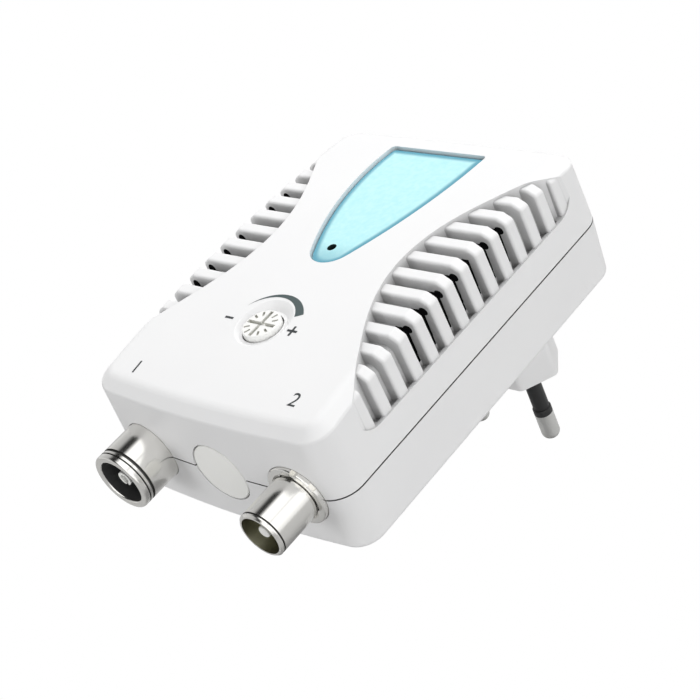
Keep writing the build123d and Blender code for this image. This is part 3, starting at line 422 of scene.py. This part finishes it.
# The window's sides and bevels take the darker copy as painted shade
second_look("window_lens", lens_edge_shade, lens_side)
# The wall of the hole over the lamp is painted with the lamp's near-black as shade
second_look("window_lens", lamp_red, lamp_hole)
# The rings round the barrels are painted dark as shade
second_look("input_barrel", nickel_ring_shade, ring_line(input_x, input_radius, input_rings))
second_look("output_barrel", nickel_ring_shade, ring_line(output_x, output_radius, output_rings))
second_look("lower_shell", seam_shade_grey, seam_face)

# Printed marks on top of the case, dropped onto its surface, in millimetres
shell = nodes["upper_shell"]
above_case = 80.0
print_lift = 0.03


def drop(x, y):
    """Point just above the case's surface, below a point seen from above."""
    _, place, _, _ = shell.ray_cast(Vector((x * MM, y * MM, above_case * MM)), Vector((0, 0, -1)))
    return Vector((x * MM, y * MM, place.z + print_lift * MM))


def add_print(name, mesh, material):
    """A printed piece that stays on the case."""
    mesh.materials.clear()
    mesh.materials.append(material)
    piece = bpy.data.objects.new(name, mesh)
    scene.collection.objects.link(piece)
    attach(piece, "case")


def mark(name, outlines, material):
    """Thin printed shapes given as outlines, seen from above."""
    mesh = bpy.data.meshes.new(name)
    shape = bmesh.new()
    for outline in outlines:
        shape.faces.new([shape.verts.new(drop(x, y)) for x, y in outline])
    bmesh.ops.triangulate(shape, faces=shape.faces[:])
    shape.normal_update()
    for face in shape.faces:
        if face.normal.z < 0:
            face.normal_flip()
    shape.to_mesh(mesh)
    shape.free()
    add_print(name, mesh, material)


def bar(cx, cy, length, width, turn=0.0):
    """Corners of a bar round its middle."""
    c, s = math.cos(turn), math.sin(turn)
    corners = [(-length / 2, -width / 2), (length / 2, -width / 2),
               (length / 2, width / 2), (-length / 2, width / 2)]
    return [(cx + x * c - y * s, cy + x * s + y * c) for x, y in corners]


def numeral(name, text, x, y, size):
    """A plain numeral as a flat printed shape, its middle at a place on the case."""
    curve = bpy.data.curves.new(name + "_outline", "FONT")
    curve.body = text
    curve.size = size
    curve.align_x = "CENTER"
    curve.align_y = "CENTER"
    outline = bpy.data.objects.new(name + "_outline", curve)
    scene.collection.objects.link(outline)
    bpy.context.view_layer.update()
    mesh = bpy.data.meshes.new_from_object(outline)
    bpy.data.objects.remove(outline)
    for vertex in mesh.vertices:
        vertex.co = drop(x + vertex.co.x, y + vertex.co.y)
    add_print(name, mesh, print_grey)


# The wedge widens clockwise round the knob, from the minus to the plus
dial_x, dial_y = 0.27, -47.4
wedge_outer, wedge_wide, wedge_thin = 8.05, 1.8, 0.01
wedge_from, wedge_to, wedge_steps = math.radians(152), math.radians(32), 48
wedge = []
for step in range(wedge_steps):
    ends = []
    for share in (step / wedge_steps, (step + 1) / wedge_steps):
        angle = wedge_from + (wedge_to - wedge_from) * share
        width = max(wedge_wide * share, wedge_thin)
        ends.append([(dial_x + r * math.cos(angle), dial_y + r * math.sin(angle))
                     for r in (wedge_outer - width, wedge_outer)])
    wedge.append([ends[0][0], ends[0][1], ends[1][1], ends[1][0]])
mark("level_wedge", wedge, print_teal)

stroke = 0.5
plus_x, minus_x, signs_y = 7.7, -8.6, -47.3
plus_length, minus_length = 2.4, 2.1
mark("plus_mark", [bar(plus_x, signs_y, plus_length, stroke),
                   bar(plus_x, signs_y, plus_length, stroke, math.pi / 2)], print_grey)
mark("minus_mark", [bar(minus_x, signs_y, minus_length, stroke)], print_grey)

numeral_size = 4.2
numeral("input_numeral", "1", -20.2, -62.8, numeral_size)
numeral("output_numeral", "2", 19.7, -61.3, numeral_size)

# Camera at the photograph's viewing angle, its focal length first given in pixels
focal_pixels = 1748.65
photo_pixels = 700
sensor_width = 36.0
camera_data = bpy.data.cameras.new("camera")
camera_data.sensor_width = sensor_width
camera_data.lens = focal_pixels / photo_pixels * sensor_width
camera_data.clip_start = 0.01
camera = bpy.data.objects.new("camera", camera_data)
forward = Vector((-0.66974, 0.49060, -0.55746)).normalized()
up = Vector((-0.16180, 0.63625, 0.75433))
right = forward.cross(up).normalized()
up = right.cross(forward)
facing = Matrix((right, up, -forward)).transposed()
camera.matrix_world = Matrix.Translation(Vector((0.22252, -0.19485, 0.21484))) @ facing.to_4x4()
scene.collection.objects.link(camera)
scene.camera = camera

# Floor just below the pins: white to the camera, a mid grey in the light it sends back
floor_z = -19.2 * MM
floor_half = 0.5
floor_grey = (0.5, 0.5, 0.5)
floor_rough = 0.9
floor_mesh = bpy.data.meshes.new("floor")
floor_corners = [(x * floor_half, y * floor_half, floor_z)
                 for x, y in ((-1, -1), (1, -1), (1, 1), (-1, 1))]
floor_mesh.from_pydata(floor_corners, [], [(0, 1, 2, 3)])
floor = bpy.data.objects.new("floor", floor_mesh)
scene.collection.objects.link(floor)
floor_material = bpy.data.materials.new("floor_white")
floor_material.use_nodes = True
tree = floor_material.node_tree
base = tree.nodes["Principled BSDF"]
base.inputs["Base Color"].default_value = (*floor_grey, 1)
base.inputs["Roughness"].default_value = floor_rough
glow = tree.nodes.new("ShaderNodeEmission")
path = tree.nodes.new("ShaderNodeLightPath")
mix = tree.nodes.new("ShaderNodeMixShader")
link(tree, path, "Is Camera Ray", mix, "Fac")
link(tree, base, "BSDF", mix, 1)
link(tree, glow, "Emission", mix, 2)
link(tree, mix, "Shader", tree.nodes["Material Output"], "Surface")
floor_mesh.materials.append(floor_material)

# Studio light: even grey for dull surfaces, white behind the object
sky_for_dull = 0.30
sky_for_camera = 1.0
world = bpy.data.worlds.new("studio")
scene.world = world
world.use_nodes = True
tree = world.node_tree
sky = tree.nodes["Background"]
sky.inputs["Color"].default_value = (1, 1, 1, 1)
path = tree.nodes.new("ShaderNodeLightPath")
coords = tree.nodes.new("ShaderNodeTexCoord")
split = tree.nodes.new("ShaderNodeSeparateXYZ")
link(tree, coords, "Generated", split, "Vector")
# Polished metal sees dark strips between bright ones, set by the turn about the case's length:
# degrees of turn up from the right, and the brightness there
strips = [(-60, 1.1), (-42, 1.1), (-34, 0.03), (-20, 0.03), (-8, 0.9), (20, 1.4), (46, 1.4),
          (51, 0.8), (56, 1.4), (92, 1.4), (104, 0.02), (122, 0.02), (136, 0.5)]
strip_end = 0.75
turn = calc(tree, "ARCTAN2", split.outputs["Z"], split.outputs["X"])
ramp = tree.nodes.new("ShaderNodeValToRGB")
tree.links.new(spread(tree, turn, -math.pi, math.pi), ramp.inputs["Fac"])
for end in ramp.color_ramp.elements:
    end.color = (strip_end, strip_end, strip_end, 1)
for degrees, value in strips:
    strip = ramp.color_ramp.elements.new((degrees + 180) / 360)
    strip.color = (value, value, value, 1)
grey = tree.nodes.new("ShaderNodeRGBToBW")
link(tree, ramp, "Color", grey, "Color")
shiny = tree.nodes.new("ShaderNodeMix")
shiny.inputs["A"].default_value = sky_for_dull
link(tree, path, "Is Glossy Ray", shiny, "Factor")
link(tree, grey, "Val", shiny, "B")
level = tree.nodes.new("ShaderNodeMix")
level.inputs["B"].default_value = sky_for_camera
link(tree, path, "Is Camera Ray", level, "Factor")
link(tree, shiny, "Result", level, "A")
link(tree, level, "Result", sky, "Strength")

light_target = Vector((0, -0.03, 0.03))


def softbox(name, place, size, power):
    """A soft lamp aimed at the case, which polished metal doesn't mirror."""
    data = bpy.data.lights.new(name, "AREA")
    data.shape = "RECTANGLE"
    data.size, data.size_y = size
    data.energy = power
    lamp = bpy.data.objects.new(name, data)
    lamp.location = place
    lamp.rotation_euler = (light_target - Vector(place)).to_track_quat("-Z", "Y").to_euler()
    lamp.visible_glossy = False
    scene.collection.objects.link(lamp)


softbox("top_light", (-0.1, 0.35, 0.65), (0.6, 0.6), 5.3)
softbox("right_light", (0.7, -0.15, 0.25), (0.5, 0.4), 2.5)
softbox("front_light", (-0.35, -0.75, 0.2), (0.4, 0.4), 1.9)

scene.view_settings.view_transform = "Standard"
